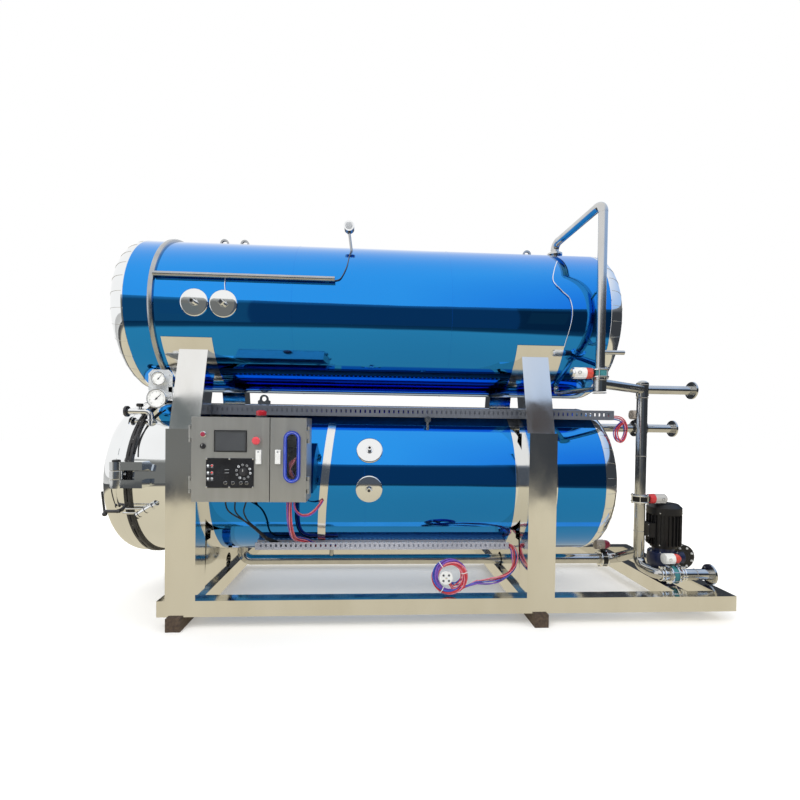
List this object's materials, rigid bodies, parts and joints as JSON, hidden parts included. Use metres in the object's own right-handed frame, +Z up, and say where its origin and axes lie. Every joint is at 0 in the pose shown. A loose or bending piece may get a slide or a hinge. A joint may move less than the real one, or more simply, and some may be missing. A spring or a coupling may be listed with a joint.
{
  "type": "double-layer water retort sterilizer",
  "caption": "Double-layer water retort: a blue hot-water tank above a sterilising vessel with a domed swing door, control cabinet, valves and pipework on a steel skid.",
  "frame": {"origin": "on the floor under the middle of the right timber block, on the centre plane of the vessels", "axes": "+X along the vessels away from the door, +Y to the back, +Z up"},
  "size_m": [5.2244, 1.79, 3.3383],
  "materials": {
    "timber": "matte",
    "steel_frame": "polished",
    "steel_vessel": "polished",
    "blue_sheet": "gloss",
    "ring_dark": "satin",
    "cover_steel": "polished",
    "lug_steel": "satin",
    "tray_grey": "satin",
    "cabinet_steel": "brushed",
    "rubber_blue": "satin",
    "panel_black": "gloss",
    "beacon_red": "gloss",
    "pipe_steel": "polished",
    "valve_teal": "satin",
    "valve_dark": "satin",
    "motor_black": "satin",
    "pump_navy": "satin",
    "tube_plastic": "gloss",
    "cable_black": "satin"
  },
  "bodies": {
    "frame": {"timber_left": "timber", "timber_right": "timber", "front_rail": "steel_frame", "rear_rail": "steel_frame", "beams_left": "steel_frame", "beams_right": "steel_frame", "beam_end": "steel_frame", "post_front_left": "steel_frame", "post_front_right": "steel_frame", "post_rear_left": "steel_frame", "post_rear_right": "steel_frame", "saddle_pads": "steel_frame", "chamber_shell": "steel_vessel", "neck_jacket": "steel_vessel", "main_jacket": "blue_sheet", "strap_jacket": "steel_vessel", "end_jacket": "blue_sheet", "lower_head": "steel_vessel", "lock_ring": "ring_dark", "door_hardware": "steel_vessel", "vent_elbow": "ring_dark", "gauge_plate": "steel_vessel", "upper_shell": "blue_sheet", "lifting_lugs": "lug_steel", "upper_head_left": "steel_vessel", "upper_head_right": "steel_vessel", "band_ring": "steel_vessel", "cover_plates": "cover_steel", "conduit": "cover_steel", "upper_tray": "tray_grey", "lower_tray": "tray_grey", "duct_strip": "tray_grey", "cabinet_box": "cabinet_steel", "beacon": "beacon_red", "riser_pipe": "pipe_steel", "riser_valve": "valve_teal", "vent_pipe": "pipe_steel", "header_pipe": "pipe_steel", "down_pipe": "pipe_steel", "steam_pipe": "pipe_steel", "steam_valve": "valve_dark", "drain_pipe": "pipe_steel", "drain_valve": "valve_dark", "down_valve": "valve_dark", "foot_valve": "valve_teal", "pump_motor": "motor_black", "pump_body": "pump_navy", "hose_coil": "tube_plastic", "hose_lead": "tube_plastic", "hose_hank": "tube_plastic", "hose_drop": "tube_plastic", "cables": "cable_black"},
    "vessel_door": {"door": "steel_vessel", "door_lever": "ring_dark"},
    "cabinet_left": {"cabinet_door_left": "cabinet_steel", "operator_panel": "panel_black"},
    "cabinet_right": {"cabinet_door_right": "cabinet_steel", "window_rim": "rubber_blue"}
  },
  "joints": [
    {"name": "vessel_door_hinge", "type": "hinge", "parent": "frame", "child": "vessel_door", "pos_m": [-3.2225, -0.723, 1.151], "axis": [0, 0, 1], "range_deg": [0, 110]},
    {"name": "cabinet_left_hinge", "type": "hinge", "parent": "frame", "child": "cabinet_left", "pos_m": [-2.604, -0.932, 1.29], "axis": [0, 0, -1], "range_deg": [0, 110]},
    {"name": "cabinet_right_hinge", "type": "hinge", "parent": "frame", "child": "cabinet_right", "pos_m": [-1.776, -0.932, 1.29], "axis": [0, 0, 1], "range_deg": [0, 110]}
  ]
}
